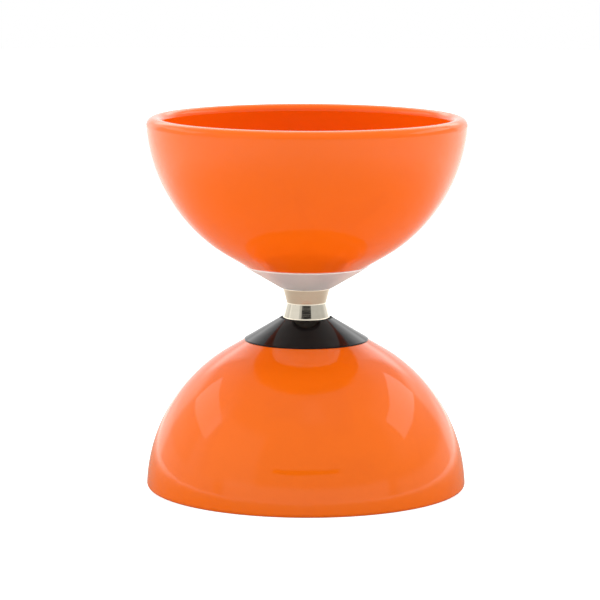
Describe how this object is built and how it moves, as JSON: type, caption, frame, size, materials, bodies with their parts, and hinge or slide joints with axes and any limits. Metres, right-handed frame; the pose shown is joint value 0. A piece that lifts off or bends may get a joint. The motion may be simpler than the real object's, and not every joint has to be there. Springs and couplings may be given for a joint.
{
  "type": "diabolo",
  "caption": "Juggling diabolo: round-lipped bowls back to back on an axle, with cones and a waisted hub between them that spins freely on ball bearings.",
  "frame": {"origin": "centre of the lower rim, on the surface that the diabolo stands on", "axes": "+Z along the axle, from the lower cup to the upper cup; +X and +Y are any two directions square to it"},
  "size_m": [0.1248, 0.1248, 0.145],
  "materials": {
    "orange_plastic": "glossy moulded orange, slightly flexible",
    "black_plastic": "glossy moulded black",
    "turned_aluminium": "satin, fine lathe-turned rings",
    "plated_steel": "bright nickel plate, lightly scuffed where the string runs",
    "zinc_steel": "zinc plated, satin",
    "bearing_steel": "ground, bright",
    "nylon": "natural nylon, satin"
  },
  "bodies": {
    "cups_and_axle": {"upper_cup": "orange_plastic", "lower_cup": "orange_plastic", "upper_cone": "turned_aluminium", "lower_cone": "black_plastic", "axle": "zinc_steel", "upper_clamp_washer": "zinc_steel", "lower_clamp_washer": "zinc_steel", "upper_lock_nut": "zinc_steel", "lower_lock_nut": "zinc_steel", "upper_nut_nylon_ring": "nylon", "lower_nut_nylon_ring": "nylon", "upper_shim": "bearing_steel", "lower_shim": "bearing_steel", "upper_bearing_inner_ring": "bearing_steel", "middle_bearing_inner_ring": "bearing_steel", "lower_bearing_inner_ring": "bearing_steel"},
    "hub": {"hub_shell": "plated_steel", "upper_bearing_outer_ring": "bearing_steel", "upper_bearing_top_shield": "bearing_steel", "upper_bearing_bottom_shield": "bearing_steel", "middle_bearing_outer_ring": "bearing_steel", "middle_bearing_top_shield": "bearing_steel", "middle_bearing_bottom_shield": "bearing_steel", "lower_bearing_outer_ring": "bearing_steel", "lower_bearing_top_shield": "bearing_steel", "lower_bearing_bottom_shield": "bearing_steel"},
    "upper_cage": {"upper_bearing_cage": "nylon", "upper_bearing_balls": "bearing_steel"},
    "middle_cage": {"middle_bearing_cage": "nylon", "middle_bearing_balls": "bearing_steel"},
    "lower_cage": {"lower_bearing_cage": "nylon", "lower_bearing_balls": "bearing_steel"}
  },
  "joints": [
    {"name": "hub_spin", "type": "hinge", "parent": "cups_and_axle", "child": "hub", "pos_m": [0, 0, 0.0725], "axis": [0, 0, 1], "continuous": true},
    {"name": "upper_cage_spin", "type": "hinge", "parent": "cups_and_axle", "child": "upper_cage", "pos_m": [0, 0, 0.0765], "axis": [0, 0, 1], "continuous": true},
    {"name": "middle_cage_spin", "type": "hinge", "parent": "cups_and_axle", "child": "middle_cage", "pos_m": [0, 0, 0.0725], "axis": [0, 0, 1], "continuous": true},
    {"name": "lower_cage_spin", "type": "hinge", "parent": "cups_and_axle", "child": "lower_cage", "pos_m": [0, 0, 0.0685], "axis": [0, 0, 1], "continuous": true}
  ],
  "couplings": [
    {"joint": "upper_cage_spin", "follows": "hub_spin", "ratio": 0.58822},
    {"joint": "middle_cage_spin", "follows": "hub_spin", "ratio": 0.58822},
    {"joint": "lower_cage_spin", "follows": "hub_spin", "ratio": 0.58822}
  ]
}
